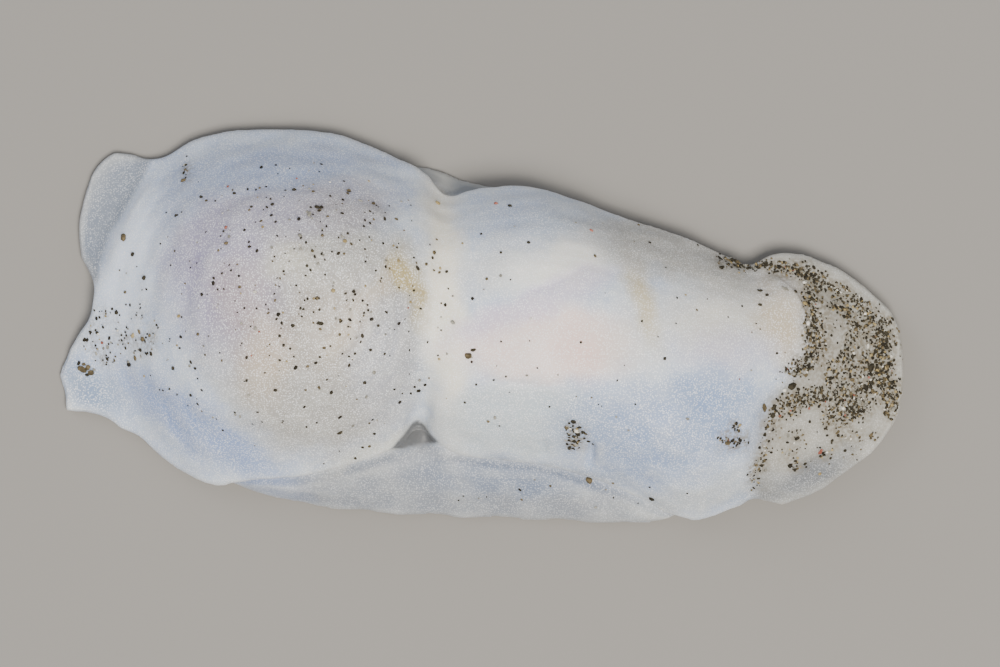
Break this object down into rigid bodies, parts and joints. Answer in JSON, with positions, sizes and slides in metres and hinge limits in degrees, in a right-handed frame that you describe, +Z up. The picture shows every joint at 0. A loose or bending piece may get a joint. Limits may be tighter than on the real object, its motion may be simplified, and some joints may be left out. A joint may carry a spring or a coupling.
{
  "type": "sea slug",
  "caption": "Still life-size model of a white headshield sea slug lying stretched on its sole, with head shield, tail shield, tail lobes and side flaps.",
  "frame": {"origin": "on the floor under the middle of the animal's bounding box", "axes": "+X towards the head along the body, +Y towards the animal's left side, +Z up from the sole"},
  "size_m": [0.04, 0.0188, 0.0085],
  "materials": {
    "foot_skin": "moist, satin, translucent flesh",
    "shield_skin": "moist milky flesh with fine white granules",
    "front_skin": "moist cream-grey flesh",
    "lobe_skin": "thin, moist, bluish translucent flesh",
    "flap_skin": "moist bluish-grey flesh",
    "sand_grains": "fine dark sand grains stuck in mucus"
  },
  "bodies": {
    "root": {"foot": "foot_skin", "tail_shield": "shield_skin", "head_shield": "shield_skin", "head_front": "front_skin", "tail_lobe_right": "lobe_skin", "tail_lobe_left": "lobe_skin", "parapodium_right": "flap_skin", "parapodium_left": "flap_skin"}
  },
  "joints": []
}
